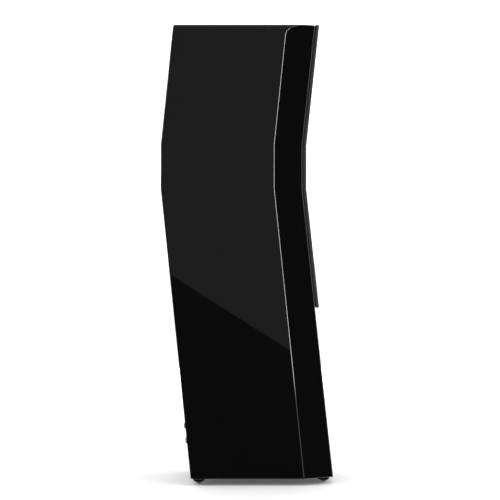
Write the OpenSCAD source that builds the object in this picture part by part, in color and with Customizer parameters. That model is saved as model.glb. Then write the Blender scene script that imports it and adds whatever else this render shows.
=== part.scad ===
/* [Cabinet] */
// Overall height, from the floor to the top panel
overall_h = 1068; // [1040:1:1100]
// Width across the two side panels
cab_w = 230; // [226:1:244]
// Depth of the cabinet across its upright middle band
cab_d = 328; // [310:1:350]
// Height of the leaning part above the middle band
upper_h = 280; // [272:1:285]
// Height of the upright middle band, which holds the tweeter
band_h = 101; // [99:1:108]
// Lean of the front face above and below the middle band, in degrees
front_lean = 6.1; // [5:0.1:7]
// Lean of the back face above and below the middle band, in degrees
back_lean = 5.9; // [5:0.1:7]
// Thickness of the panels
wall = 19; // [18:1:20]
// Radius of the two long top edges
top_r = 25; // [20:1:28]
// Depth of the flat part of each side, from the back edge to the baffle seam
side_d = 261.5; // [250:0.5:270]
// Thickness of the baffle plate that carries the drivers
baffle_t = 26; // [24:1:28]
// Angle of the bevels at both sides of the front, in degrees
bevel_angle = 24.5; // [23:0.5:25]

/* [Drivers] */
// Outer diameter of the woofer flanges
woofer_d = 152; // [150:1:153]
// Outer diameter of the midrange flanges
midrange_d = 104; // [102:1:105]
// Outer diameter of the tweeter faceplate
tweeter_d = 94; // [92:1:96]
// Gap between a knee of the front face and the nearest midrange flange
knee_gap = 6; // [5:0.5:7]
// Gap between a midrange flange and its neighbouring woofer flange
driver_gap = 5; // [4:0.5:6]

/* [Grille] */
// Height of the grille's bottom edge above the floor
grille_z = 410; // [405:1:413]
// Width of the grille
grille_w = 167; // [164:1:168]
// Thickness of the grille, cloth included
grille_t = 9.3; // [9:0.1:11]

/* [Rear] */
// Bore diameter of the two bass ports
port_d = 52; // [48:1:56]
// Length of a port tube
port_len = 130; // [100:1:140]
// Height of the upper port above the floor
port_upper_z = 868; // [850:1:870]
// Height of the lower port above the floor
port_lower_z = 300; // [290:1:320]
// Height of the middle of the terminal cup above the floor
cup_z = 110.5; // [106:0.5:116]
// Distance between the upper and the lower row of binding posts
post_pitch_z = 35.4; // [34:0.1:38]
// Distance between the left and the right column of binding posts
post_pitch_x = 38; // [34:1:40]

/* [Feet] */
// Clearance below the cabinet
foot_h = 16; // [14:1:20]
// Radius of a foot at its widest
foot_r = 14; // [12:0.5:16]

/* [Hidden] */
$fn = 64;

// Colours
gloss_black = [0.05, 0.05, 0.06];
satin_black = [0.1, 0.1, 0.1];
raw_board = [0.6, 0.45, 0.3];
foam_grey = [0.35, 0.35, 0.36];
cast_grey = [0.2, 0.2, 0.21];
steel = [0.7, 0.7, 0.72];
ferrite = [0.16, 0.16, 0.17];
rubber = [0.06, 0.06, 0.06];
copper = [0.75, 0.42, 0.22];
gold = [0.85, 0.68, 0.35];
board_green = [0.1, 0.3, 0.15];

// Levels of the outline
z_bot = foot_h;
z_top = overall_h;
z_high = z_top - upper_h;       // upper knee
z_low = z_high - band_h;        // lower knee
z_mid = (z_high + z_low) / 2;
half_w = cab_w / 2;
inner_w = cab_w - 2 * wall;
eps = 0.01;
over = 20;                      // how far a cutter runs past what it cuts

// Depths, positive towards the back, at the middle band
toe = (z_low - z_bot) * tan(front_lean);
y_front0 = (toe - cab_d) / 2;
y_back0 = y_front0 + cab_d;
y_seam0 = y_back0 - side_d;

// Both faces stand forward of the middle band by this much at height z
function reach(z, lean) = (max(0, z - z_high) + max(0, z_low - z)) * tan(lean);
function y_front(z) = y_front0 - reach(z, front_lean);
function y_back(z) = y_back0 - reach(z, back_lean);
function y_seam(z) = y_seam0 - reach(z, back_lean);
function tilt(z, lean) = z > z_high ? lean : z < z_low ? -lean : 0;

// Pocket behind the baffle plate, and the tub for the midranges and the tweeter
pocket_w = 160;
tub_wall = 12;
tub_d = 96;
tub_reach = 115;                // inside height of the tub beyond each knee

// Driver places, measured along the leaning faces from the knees
woofer_r = woofer_d / 2;
midrange_r = midrange_d / 2;
tweeter_r = tweeter_d / 2;
midrange_u = knee_gap + midrange_r;
woofer_u = midrange_u + midrange_r + driver_gap + woofer_r;
function above(u) = z_high + u * cos(front_lean);
function below(u) = z_low - u * cos(front_lean);
midrange_k = midrange_r / woofer_r;     // a midrange is a woofer drawn smaller
UP = 1;
DOWN = -1;
function driver_z(u, side) = side == UP ? above(u) : below(u);

// Profile radii and depths of a woofer, from the middle of its flange
flange_t = 5;
flange_play = 0.4;
hole_r = 66.5;
ledge_r = 66;
ledge_z = -3.4;
basket_wall_r = 65;
roll_out = 61;
roll_in = 51;
roll_r = (roll_out - roll_in) / 2;
cone_rim_z = -8;
cone_neck_z = -36;
neck_r = 13.1;
cone_t = 1.2;
cap_r = 21;
plate_top_z = -52;
plate_t = 6;
magnet_t = 18;
yoke_t = 6;
screw_circle = 71;
screw_r = 2;
screw_play = 0.3;
screw_count = 6;
small_screw_count = 4;

// Tweeter
tweeter_flange_t = 4;
tweeter_hole_r = 33;
tweeter_neck_r = 32.5;
tweeter_screw_circle = 40;
tweeter_screw_r = 1.5;
TWEETER_SCREWS = [45 : 90 : 315];

// Places of the feet: [x, y]
front_foot_inset = [64, 21.4];  // from the side and the front edge of the bottom
rear_foot_inset = [40, 17.9];   // from the side and the back edge of the bottom
FOOT_FRONT = [half_w - front_foot_inset[0], y_front(z_bot) + front_foot_inset[1]];
FOOT_REAR = [half_w - rear_foot_inset[0], y_back(z_bot) - rear_foot_inset[1]];
stud_r = 4;
stud_len = 14;

// Terminal cup
cup_w = 104;
cup_h = 104;
cup_flange = 8;
cup_deep = 22;
cup_t = 3;
cup_play = 0.4;
cup_screw_r = 1.5;
post_len_out = 8.2;             // how far a post stands out of the back face
bore_r = 2.05;                  // socket for a 4 mm plug
bore_len = 20;
POSTS = [for (z = [1, -1], x = [1, -1]) [x * post_pitch_x / 2, z * post_pitch_z / 2]];

// Braces, each a frame round a window
brace_t = 18;
brace_rim = 30;
BRACES = [210, 385, 917];

// ---------- frames of reference ----------

// Children stand on the front face at height z, with +Z out of the face
module on_front(z) {
    translate([0, y_front(z), z])
        rotate([90 + tilt(z, front_lean), 0, 0])
            children();
}

// Children stand on the back face at height z, with +Z out of the face
module on_back(z) {
    translate([0, y_back(z), z])
        rotate([tilt(z, back_lean), 0, 0])
            rotate([90, 0, 180])
                children();
}

module at_driver(u, side) {
    on_front(driver_z(u, side))
        children();
}

module at_midrange(side) {
    at_driver(midrange_u, side)
        scale(midrange_k)
            children();
}

// ---------- outline of the cabinet ----------

function levels(lo, hi) = concat([lo], [for (z = [z_low, z_high]) if (z > lo && z < hi) z], [hi]);
function run_up(y0, lean, lo, hi) = [for (z = levels(lo, hi)) [y0 - reach(z, lean), z]];
function turned(list) = [for (i = [len(list) - 1 : -1 : 0]) list[i]];

// A wall bent like the cabinet, w wide, between two depths given at the middle band
module bent_block(y_a, lean_a, y_b, lean_b, lo, hi, w) {
    rotate([90, 0, 90])
        linear_extrude(w, center = true)
            polygon(concat(run_up(y_a, lean_a, lo, hi), turned(run_up(y_b, lean_b, lo, hi))));
}

// What the bevel takes off one side of the front between two levels
module bevel_wedge(lo, hi, lean) {
    pivot_z = lean < 0 ? hi : lo;
    wedge = atan(tan(bevel_angle) / cos(lean));
    depth = 150;
    intersection() {
        translate([half_w, y_seam(pivot_z), pivot_z])
            rotate([lean, 0, 0])
                linear_extrude(2000, center = true)
                    polygon([[0, 0], [-depth * tan(wedge), -depth], [over, -depth], [over, 0]]);
        translate([0, -500, lo])
            cube([half_w + over, 1000, hi - lo]);
    }
}

module bevel_cuts() {
    for (side = [0, 1])
        mirror([side, 0, 0]) {
            bevel_wedge(z_bot - over, z_low, -back_lean);
            bevel_wedge(z_low, z_high, 0);
            bevel_wedge(z_high, z_top + over, back_lean);
        }
}

// What rounds the two long top edges
module top_edge_cuts() {
    for (side = [0, 1])
        mirror([side, 0, 0])
            translate([half_w - top_r, 500, z_top - top_r])
                rotate([90, 0, 0])
                    linear_extrude(1000)
                        difference() {
                            square(top_r + over);
                            circle(top_r);
                        }
}

// ---------- cabinet ----------

module side_panel(side) {
    color(gloss_black)
        difference() {
            translate([side * (half_w - wall / 2), 0, 0])
                bent_block(y_seam0, back_lean, y_back0, back_lean, z_bot, z_top, wall);
            top_edge_cuts();
        }
}

module top_panel() {
    color(gloss_black)
        difference() {
            bent_block(y_seam0, back_lean, y_back0, back_lean, z_top - wall, z_top, inner_w);
            top_edge_cuts();
        }
}

module bottom_panel() {
    color(satin_black)
        difference() {
            bent_block(y_seam0, back_lean, y_back0, back_lean, z_bot, z_bot + wall, inner_w);
            for (x = [1, -1])
                translate([x * FOOT_REAR[0], FOOT_REAR[1], z_bot])
                    insert_hole();
        }
}

module back_panel() {
    color(gloss_black)
        difference() {
            bent_block(y_back0 - wall, back_lean, y_back0, back_lean, z_bot + wall, z_top - wall, inner_w);
            for (z = [port_upper_z, port_lower_z])
                on_back(z)
                    port_hole();
            on_back(cup_z)
                cup_hole();
        }
}

module front_baffle() {
    color(gloss_black)
        difference() {
            bent_block(y_front0, front_lean, y_seam0, back_lean, z_bot, z_top, cab_w);
            bevel_cuts();
            top_edge_cuts();
            bent_block(y_front0 + baffle_t, front_lean, y_seam0 + eps, back_lean,
                z_bot + wall, z_top - wall, pocket_w);
            for (side = [UP, DOWN]) {
                at_driver(woofer_u, side)
                    driver_hole();
                at_midrange(side)
                    driver_hole();
            }
            on_front(z_mid)
                tweeter_hole();
            for (x = [1, -1])
                translate([x * FOOT_FRONT[0], FOOT_FRONT[1], z_bot])
                    insert_hole();
        }
}

module driver_hole() {
    translate([0, 0, -flange_t])
        cylinder(h = flange_t + over, r = woofer_r + flange_play);
    translate([0, 0, -baffle_t - 2 * over])
        cylinder(h = baffle_t + 3 * over, r = hole_r);
}

module tweeter_hole() {
    translate([0, 0, -tweeter_flange_t])
        cylinder(h = tweeter_flange_t + over, r = tweeter_r + flange_play);
    translate([0, 0, -baffle_t - over])
        cylinder(h = baffle_t + 2 * over, r = tweeter_hole_r);
}

module window_braces() {
    color(raw_board)
        for (z = BRACES)
            difference() {
                bent_block(y_seam0, back_lean, y_back0 - wall, back_lean, z, z + brace_t, inner_w);
                bent_block(y_seam0 + brace_rim, back_lean, y_back0 - wall - brace_rim, back_lean,
                    z - 1, z + brace_t + 1, inner_w - 2 * brace_rim);
            }
}

module midrange_tub() {
    color(raw_board)
        difference() {
            bent_block(y_front0 + baffle_t, front_lean, y_front0 + baffle_t + tub_d, front_lean,
                z_low - tub_reach - tub_wall, z_high + tub_reach + tub_wall, pocket_w);
            bent_block(y_front0 + baffle_t - 1, front_lean,
                y_front0 + baffle_t + tub_d - tub_wall, front_lean,
                z_low - tub_reach, z_high + tub_reach, pocket_w - 2 * tub_wall);
        }
}

module damping_foam() {
    foam_t = 20;
    gap = 1;
    starts = concat([z_bot + wall + gap], [for (z = BRACES) z + brace_t + gap]);
    ends = concat([for (z = BRACES) z - gap], [z_top - wall - gap]);
    color(foam_grey)
        for (i = [0 : len(starts) - 1], side = [1, -1])
            translate([side * (inner_w / 2 - foam_t / 2), 0, 0])
                bent_block(y_front0 + baffle_t + tub_d + 8, front_lean, y_back0 - wall - 8, back_lean,
                    starts[i], ends[i], foam_t);
}

// ---------- grille ----------

grille_gap = 0.3;
magnet_r = 3;
magnet_h = 3;
cloth_t = 0.6;
rail = 7.5;
frame_w = grille_w - 2 * cloth_t;
frame_out = grille_t - cloth_t;

module grille_frame() {
    color(satin_black)
        difference() {
            bent_block(y_front0 - frame_out, front_lean, y_front0 - grille_gap, front_lean,
                grille_z + cloth_t, z_top - cloth_t, frame_w);
            for (bay = [[grille_z + rail, z_low - rail / 2], [z_low + rail / 2, z_high - rail / 2],
                    [z_high + rail / 2, z_top - rail]])
                bent_block(y_front0 - frame_out - 1, front_lean, y_front0 + 1, front_lean,
                    bay[0], bay[1], frame_w - 2 * rail);
            grille_magnet_places()
                cylinder(h = magnet_h + 0.2, r = magnet_r + 0.1);
        }
}

module grille_cloth() {
    color(satin_black)
        difference() {
            bent_block(y_front0 - grille_t, front_lean, y_front0 - grille_gap - 0.5, front_lean,
                grille_z, z_top, grille_w);
            bent_block(y_front0 - frame_out, front_lean, y_front0 + 1, front_lean,
                grille_z + cloth_t, z_top - cloth_t, frame_w);
        }
}

// Eight places in the side rails, with +Z towards the front
module grille_magnet_places() {
    for (z = [grille_z + 40, z_low - 60, z_high + 60, z_top - 40], x = [1, -1])
        on_front(z)
            translate([x * (frame_w - rail) / 2, 0, grille_gap + 0.2])
                children();
}

module grille_magnets() {
    color(steel)
        grille_magnet_places()
            cylinder(h = magnet_h, r = magnet_r);
}

// ---------- feet ----------

insert_r = 6.5;
insert_h = 15;
foot_play = 0.3;
foot_tip_r = 2.5;
foot_rim_h = 8;

module insert_hole() {
    translate([0, 0, -1])
        cylinder(h = wall + 2, r = insert_r);
}

module foot_inserts() {
    color(gold)
        for (place = [FOOT_FRONT, FOOT_REAR], x = [1, -1])
            translate([x * place[0], place[1], z_bot])
                difference() {
                    cylinder(h = insert_h, r = insert_r);
                    translate([0, 0, -1])
                        cylinder(h = insert_h + 2, r = stud_r + 0.06);
                }
}

module foot(place, side) {
    rim_z = z_bot - foot_play - foot_rim_h;
    color(satin_black)
        translate([side * place[0], place[1], 0]) {
            rotate_extrude()
                polygon([[0, 0], [foot_tip_r, 0], [foot_r, rim_z], [foot_r, rim_z + foot_rim_h - 1.5],
                    [foot_r - 1.5, rim_z + foot_rim_h], [stud_r, rim_z + foot_rim_h],
                    [stud_r, rim_z + foot_rim_h + stud_len - 1], [stud_r - 1, rim_z + foot_rim_h + stud_len],
                    [0, rim_z + foot_rim_h + stud_len]]);
        }
}

// ---------- ports ----------

port_r = port_d / 2;
port_t = 3;
port_rim_w = 7;                 // flat ring round the flare, set into the panel
port_rim_t = 3;
port_play = 0.3;
flare_r = 14;
flare_steps = 6;

module port_hole() {
    translate([0, 0, -wall - over])
        cylinder(h = wall + over + 1, r = port_r + flare_r);
    translate([0, 0, -port_rim_t])
        cylinder(h = port_rim_t + 1, r = port_r + flare_r + port_rim_w);
}

// Flared tube, its mouth flush with the back face
module port(z) {
    mouth = [for (i = [0 : flare_steps]) let (a = 90 * i / flare_steps)
        [port_r + flare_r * (1 - cos(a)), flare_r * sin(a) - flare_r]];
    rim = port_r + flare_r;
    rim_end = rim + port_rim_w - port_play;
    color(satin_black)
        on_back(z)
            rotate_extrude()
                polygon(concat(
                    [[port_r, -port_len]],
                    mouth,
                    [[rim_end, 0], [rim_end, -port_rim_t], [rim - port_play, -port_rim_t],
                        [port_r + port_t + 3, -flare_r], [port_r + port_t, -flare_r - 6],
                        [port_r + port_t, -port_len]]));
}

// ---------- terminals ----------

post_base_r = 7.5;
post_base_top = -16;
post_tail = 14;                 // behind the cup, for the cable's tag
nut_h = 5;
nut_r = 6.5;
strap_t = 1.5;
washer_t = 1.2;
washer_r = 7;
knob_r = 7.4;
knob_collar_h = 4;
knob_taper_h = 2;
play = 0.15;
washer_z = post_base_top + strap_t + play;
knob_z = washer_z + washer_t + play;

module cup_hole() {
    translate([-cup_w / 2 - cup_play / 2, -cup_h / 2 - cup_play / 2, -cup_t])
        cube([cup_w + cup_play, cup_h + cup_play, cup_t + 1]);
    inner = cup_w - 2 * cup_flange + cup_play;
    translate([-inner / 2, -inner / 2, -wall - over])
        cube([inner, inner, wall + over + 1]);
}

module terminal_cup() {
    tub = cup_w - 2 * cup_flange;
    color(satin_black)
        on_back(cup_z)
            difference() {
                union() {
                    translate([-cup_w / 2, -cup_h / 2, -cup_t])
                        cube([cup_w, cup_h, cup_t]);
                    translate([-tub / 2, -tub / 2, -cup_deep - cup_t])
                        cube([tub, tub, cup_deep + cup_t]);
                }
                translate([-tub / 2 + cup_t, -tub / 2 + cup_t, -cup_deep])
                    cube([tub - 2 * cup_t, tub - 2 * cup_t, cup_deep + 1]);
                for (p = POSTS)
                    translate([p[0], p[1], -cup_deep - cup_t - 1])
                        cylinder(h = cup_t + 2, r = stud_r + 0.1);
                cup_screw_places()
                    translate([0, 0, -cup_t - 1])
                        cylinder(h = cup_t + 2, r = cup_screw_r + 0.2);
            }
}

module cup_screw_places() {
    reach_x = cup_w / 2 - cup_flange / 2;
    for (x = [1, -1], y = [1, -1])
        translate([x * reach_x, y * reach_x, 0])
            children();
}

// Four hollow posts, each with the collar that it clamps against and a nut inside
module binding_posts() {
    color(gold)
        on_back(cup_z)
            for (p = POSTS)
                translate([p[0], p[1], 0])
                    difference() {
                        union() {
                            translate([0, 0, -cup_deep - cup_t - post_tail])
                                cylinder(h = cup_deep + cup_t + post_tail + post_len_out, r = stud_r);
                            translate([0, 0, -cup_deep])
                                cylinder(h = cup_deep + post_base_top, r = post_base_r);
                            translate([0, 0, -cup_deep - cup_t - nut_h])
                                cylinder(h = nut_h, r = nut_r, $fn = 6);
                        }
                        translate([0, 0, post_len_out - bore_len])
                            cylinder(h = bore_len + 1, r = bore_r);
                    }
}

module jumper_straps() {
    strap_w = 11;
    color(gold)
        on_back(cup_z)
            for (x = [1, -1])
                translate([x * post_pitch_x / 2, 0, post_base_top])
                    difference() {
                        union() {
                            translate([-strap_w / 2, -post_pitch_z / 2, 0])
                                cube([strap_w, post_pitch_z, strap_t]);
                            for (y = [1, -1])
                                translate([0, y * post_pitch_z / 2, 0])
                                    cylinder(h = strap_t, r = strap_w / 2 + 1);
                        }
                        for (y = [1, -1])
                            translate([0, y * post_pitch_z / 2, -1])
                                cylinder(h = strap_t + 2, r = stud_r + 0.2);
                    }
}

module washer(i) {
    color(gold)
        on_back(cup_z)
            translate([POSTS[i][0], POSTS[i][1], washer_z])
                difference() {
                    cylinder(h = washer_t, r = washer_r);
                    translate([0, 0, -1])
                        cylinder(h = washer_t + 2, r = stud_r + 0.1);
                }
}

// Fluted knob with a round collar at its inner end
module knob(i) {
    top = post_len_out - 0.3;
    color(i % 2 == 0 ? "firebrick" : "dimgray")
        on_back(cup_z)
            translate([POSTS[i][0], POSTS[i][1], 0])
                difference() {
                    union() {
                        translate([0, 0, knob_z])
                            cylinder(h = knob_collar_h, r = knob_r);
                        translate([0, 0, knob_z + knob_collar_h])
                            cylinder(h = top - knob_z - knob_collar_h - knob_taper_h, r = knob_r - 0.4);
                        translate([0, 0, top - knob_taper_h])
                            cylinder(h = knob_taper_h, r1 = knob_r - 0.4, r2 = knob_r - 1.8);
                    }
                    translate([0, 0, knob_z - 1])
                        cylinder(h = top - knob_z + 2, r = stud_r + 0.08);
                    for (a = [0 : 45 : 315])
                        rotate(a)
                            translate([knob_r + 0.4, 0, knob_z + knob_collar_h + 1])
                                cylinder(h = top - knob_z, r = 1.3);
                }
}

// ---------- crossover ----------

board_z = z_bot + wall + 8;
board_t = 2;
BOARD = [128, 160];             // width and depth
BOARD_Y = -30;                  // middle of the board
// Coils: [x, y, outer radius, inner radius, height]
COILS = [[-34, -85, 25, 11, 22], [30, -80, 22, 10, 20], [-38, 20, 20, 9, 18], [-20, -28, 14, 6, 14]];
// Capacitors lying along X: [x, y, radius, length]
CAPACITORS = [[30, -45, 10, 44], [30, -22, 9, 40], [32, 2, 11, 46], [30, 27, 8, 36]];

module crossover_board() {
    color(board_green) {
        translate([-BOARD[0] / 2, BOARD_Y - BOARD[1] / 2, board_z])
            cube([BOARD[0], BOARD[1], board_t]);
        for (x = [1, -1], y = [1, -1])
            translate([x * (BOARD[0] / 2 - 6), BOARD_Y + y * (BOARD[1] / 2 - 6), z_bot + wall])
                cylinder(h = board_z - z_bot - wall, r = 3.5);
    }
}

module crossover_coils() {
    color(copper)
        for (c = COILS)
            translate([c[0], c[1], board_z + board_t])
                difference() {
                    cylinder(h = c[4], r = c[2]);
                    translate([0, 0, -1])
                        cylinder(h = c[4] + 2, r = c[3]);
                }
}

module crossover_capacitors() {
    color("goldenrod")
        for (c = CAPACITORS)
            translate([c[0] - c[3] / 2, c[1], board_z + board_t + c[2]])
                rotate([0, 90, 0])
                    cylinder(h = c[3], r = c[2]);
}

// A bundle of cables from point to point, tied together with a round clip at every bend
module cable(points, r) {
    for (i = [0 : len(points) - 2]) {
        a = points[i];
        d = points[i + 1] - a;
        flat = norm([d[0], d[1]]);
        translate(a)
            rotate([0, atan2(flat, d[2]), atan2(d[1], d[0])])
                cylinder(h = norm(d), r = r);
        if (i > 0)
            translate(a)
                sphere(r * 1.3);
    }
}

module wiring_harness() {
    x = 58;                     // inside the window of the braces
    start_x = 48;
    start_y = BOARD_Y + 74;
    run_y = 25;
    tail = board_z + board_t;
    end_depth = 100;            // behind the woofer motors
    color("firebrick") {
        cable([[start_x, start_y, tail], [start_x, start_y, tail + 25], [x, run_y, tail + 60],
            [x, run_y, z_high + 60], [x, run_y, above(woofer_u)],
            [50, y_front(above(woofer_u)) + end_depth, above(woofer_u)]], 3);
        cable([[-start_x, start_y, tail], [-start_x, start_y, tail + 25], [-x, 0, tail + 60],
            [-x, 0, below(woofer_u)],
            [-50, y_front(below(woofer_u)) + end_depth, below(woofer_u)]], 3);
    }
}

// ---------- cone drivers, drawn at woofer size on a flange at Z = 0 ----------

cone_steps = 8;

// Depth of the cone's front surface at radius r: steep at the neck, shallow at the rim
function cone_z(r) = let (t = (r - neck_r) / (roll_in - neck_r))
    cone_neck_z + (cone_rim_z - cone_neck_z) * (1 - pow(1 - t, 1.5));

// Frame with windows between its legs, fixed by a number of screws
module basket(screws) {
    window_w = 34;
    color(cast_grey)
        difference() {
            rotate_extrude()
                polygon([[woofer_r, 0], [woofer_r, -flange_t], [basket_wall_r, -flange_t],
                    [basket_wall_r, -9], [48, -41], [48, plate_top_z], [30, plate_top_z],
                    [30, -48.5], [38, -48.5], [38, -40], [44.5, -40], [61.5, -9],
                    [roll_out - 0.5, -7], [roll_out - 0.5, ledge_z], [ledge_r, ledge_z], [ledge_r, 0]]);
            for (a = [0 : 60 : 300])
                rotate(a + 30)
                    translate([34, -window_w / 2, -36])
                        cube([60, window_w, 24]);
            flange_screws(screws)
                translate([0, 0, -flange_t - 1])
                    cylinder(h = flange_t + 2, r = screw_r + screw_play);
        }
}

module flange_screws(count) {
    for (i = [0 : count - 1])
        rotate((i + 0.5) * 360 / count)
            translate([screw_circle, 0, 0])
                children();
}

// Top plate, ferrite ring, and yoke with its pole
module motor() {
    magnet_top = plate_top_z - plate_t;
    yoke_top = magnet_top - magnet_t;
    color(ferrite) {
        ring(14.2, 39, plate_top_z - plate_t, plate_t);
        ring(20, 46, magnet_top - magnet_t, magnet_t);
        rotate_extrude()
            polygon([[4, yoke_top - yoke_t], [40, yoke_top - yoke_t], [40, yoke_top], [12.2, yoke_top],
                [12.2, plate_top_z + 1], [4, plate_top_z + 1]]);
    }
}

module ring(r_in, r_out, z, h) {
    translate([0, 0, z])
        difference() {
            cylinder(h = h, r = r_out);
            translate([0, 0, -1])
                cylinder(h = h + 2, r = r_in);
        }
}

// Bullet that stands on a midrange's pole, inside the neck of its cone
module phase_plug() {
    color(steel)
        translate([0, 0, plate_top_z + 1])
            rotate_extrude()
                polygon(concat([[0, 0], [11.6, 0], [11.6, 26]],
                    [for (a = [15 : 15 : 75]) [11.6 * cos(a), 26 + 15 * sin(a)]], [[0, 41]]));
}

module woofer_motors() {
    for (side = [UP, DOWN])
        at_driver(woofer_u, side)
            motor();
}

module midrange_motors() {
    for (side = [UP, DOWN])
        at_midrange(side) {
            motor();
            phase_plug();
        }
}

module cone() {
    radii = [for (i = [0 : cone_steps]) neck_r + 0.1 + (roll_in - neck_r - 0.1) * i / cone_steps];
    color(satin_black)
        rotate_extrude()
            polygon(concat([for (r = radii) [r, cone_z(r)]],
                [for (r = turned(radii)) [r, cone_z(r) - cone_t]]));
}

module dust_cap() {
    base = cone_z(cap_r) + 0.2;
    rise = 7;
    big_r = (cap_r * cap_r + rise * rise) / (2 * rise);
    sweep = asin(cap_r / big_r);
    steps = 6;
    color(satin_black)
        rotate_extrude()
            polygon(concat(
                [for (i = [0 : steps]) let (a = sweep * i / steps)
                    [big_r * sin(a), base + rise - big_r * (1 - cos(a))]],
                [for (i = [steps : -1 : 0]) let (a = sweep * i / steps)
                    [(big_r - 0.8) * sin(a), base + rise - 0.8 - (big_r - 0.8) * (1 - cos(a))]]));
}

// Former with its winding
module voice_coil() {
    color(copper)
        rotate_extrude()
            polygon([[neck_r - 0.3, -70], [neck_r, -70], [neck_r, -61], [neck_r + 0.6, -61],
                [neck_r + 0.6, -49], [neck_r, -49], [neck_r, cone_neck_z + 6],
                [neck_r - 0.3, cone_neck_z + 6]]);
}

// Surround roll between the frame's ledge and the cone's rim, and the spider below
module suspension() {
    t = 0.8;
    rim_top = cone_z(roll_in - 4) + 0.05;
    roll_z = ledge_z + t;
    mid_r = (roll_out + roll_in) / 2;
    color(rubber) {
        rotate_extrude()
            polygon(concat(
                [[ledge_r - 0.2, roll_z], [roll_out, roll_z]],
                [for (a = [15 : 15 : 180]) [mid_r + roll_r * cos(a), roll_z + roll_r * sin(a)]],
                [[roll_in - 0.6, rim_top + 2.4], [roll_in - 4, rim_top + t], [roll_in - 4, rim_top],
                    [roll_in + 0.2, rim_top + 1.6]],
                [for (a = [180 : -15 : 15]) [mid_r + (roll_r - t) * cos(a), roll_z + (roll_r - t) * sin(a)]],
                [[roll_out - 0.4, ledge_z], [ledge_r - 0.2, ledge_z]]));
        spider();
    }
}

// Corrugated disc from the former to the basket's inner ledge
module spider() {
    waves = 4;
    points = 24;
    r_in = neck_r + 0.02;
    r_wave = 37.5;
    r_out = 44;
    flat_z = -39.98;
    function wave(i) = [r_in + (r_wave - r_in) * i / points,
        flat_z + (i == 0 || i == points ? 0 : 1.4 * sin(360 * waves * i / points))];
    rotate_extrude()
        polygon(concat([for (i = [0 : points]) wave(i)], [[r_out, flat_z], [r_out, flat_z + 0.5]],
            [for (i = [points : -1 : 0]) wave(i) + [0, 0.5]]));
}

module screw(r, head_r, length) {
    difference() {
        union() {
            cylinder(h = head_r * 0.75, r = head_r);
            translate([0, 0, -length])
                cylinder(h = length, r = r);
        }
        translate([0, 0, head_r * 0.25])
            cylinder(h = head_r, r = head_r * 0.55, $fn = 6);
    }
}

module mounting_screws() {
    color(satin_black) {
        for (side = [UP, DOWN]) {
            at_driver(woofer_u, side)
                flange_screws(screw_count)
                    screw(screw_r, 3.8, flange_t - 0.2);
            at_midrange(side)
                flange_screws(small_screw_count)
                    screw(screw_r, 4.2, flange_t - 0.2);
        }
        on_front(z_mid)
            for (a = TWEETER_SCREWS)
                rotate(a)
                    translate([tweeter_screw_circle, 0, 0])
                        screw(tweeter_screw_r, 2.9, tweeter_flange_t - 0.4);
        on_back(cup_z)
            cup_screw_places()
                screw(cup_screw_r, 3, cup_t - 0.2);
    }
}

// ---------- tweeter ----------

dome_r = 13;
dome_rise = 5;
mesh_r = 21;

module tweeter_faceplate() {
    color(satin_black)
        on_front(z_mid)
            difference() {
                rotate_extrude()
                    polygon([[tweeter_r, 0], [tweeter_r, -tweeter_flange_t],
                        [tweeter_neck_r, -tweeter_flange_t], [tweeter_neck_r, -9], [18, -9], [18, -5.5],
                        [19.5, -2.9], [mesh_r + 0.3, -2.9], [mesh_r + 0.3, -2], [mesh_r + 4, -1.3],
                        [31, -0.4], [37, 0]]);
                for (a = TWEETER_SCREWS)
                    rotate(a)
                        translate([tweeter_screw_circle, 0, -tweeter_flange_t - 1])
                            cylinder(h = tweeter_flange_t + 2, r = tweeter_screw_r + screw_play);
            }
}

module tweeter_dome() {
    big_r = (dome_r * dome_r + dome_rise * dome_rise) / (2 * dome_rise);
    sweep = asin(dome_r / big_r);
    steps = 6;
    t = 0.4;
    base = -8.4;
    color("silver")
        on_front(z_mid)
            rotate_extrude()
                polygon(concat(
                    [for (i = [0 : steps]) let (a = sweep * i / steps)
                        [big_r * sin(a), base + dome_rise - big_r * (1 - cos(a))]],
                    [[dome_r + 1.2, base + 0.9], [dome_r + 2.6, base + 0.9], [dome_r + 3.8, base],
                        [dome_r + 3.4, base - t], [dome_r + 2.4, base + 0.4], [dome_r + 1.4, base + 0.4],
                        [dome_r, base - t]],
                    [for (i = [steps - 1 : -1 : 0]) let (a = sweep * i / steps)
                        [(big_r - t) * sin(a), base + dome_rise - t - (big_r - t) * (1 - cos(a))]]));
}

module tweeter_voice_coil() {
    color(copper)
        on_front(z_mid)
            ring(dome_r - 0.6, dome_r - 0.1, -14, 5.1);
}

// Dished mesh over the dome, drawn as a thin dish
module tweeter_mesh() {
    rise = 4.5;
    big_r = (mesh_r * mesh_r + rise * rise) / (2 * rise);
    sweep = asin(mesh_r / big_r);
    steps = 6;
    t = 0.5;
    base = -2.44;
    color(satin_black)
        on_front(z_mid)
            rotate_extrude()
                polygon(concat(
                    [for (i = [0 : steps]) let (a = sweep * i / steps)
                        [big_r * sin(a), base + rise - big_r * (1 - cos(a))]],
                    [for (i = [steps : -1 : 0]) let (a = sweep * i / steps)
                        [(big_r - t) * sin(a), base + rise - t - (big_r - t) * (1 - cos(a))]]));
}

// Plate, ring magnet, cup and rear chamber
module tweeter_motor() {
    color(ferrite)
        on_front(z_mid) {
            ring(13.8, 26, -13, 3.4);
            ring(18, 30, -27, 14);
            rotate_extrude()
                polygon([[0, -33], [27, -33], [27, -27], [11.6, -27], [11.6, -10], [0, -10]]);
            ring(0.01, 21, -50, 17);
        }
}

// ---------- parts ----------

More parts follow.
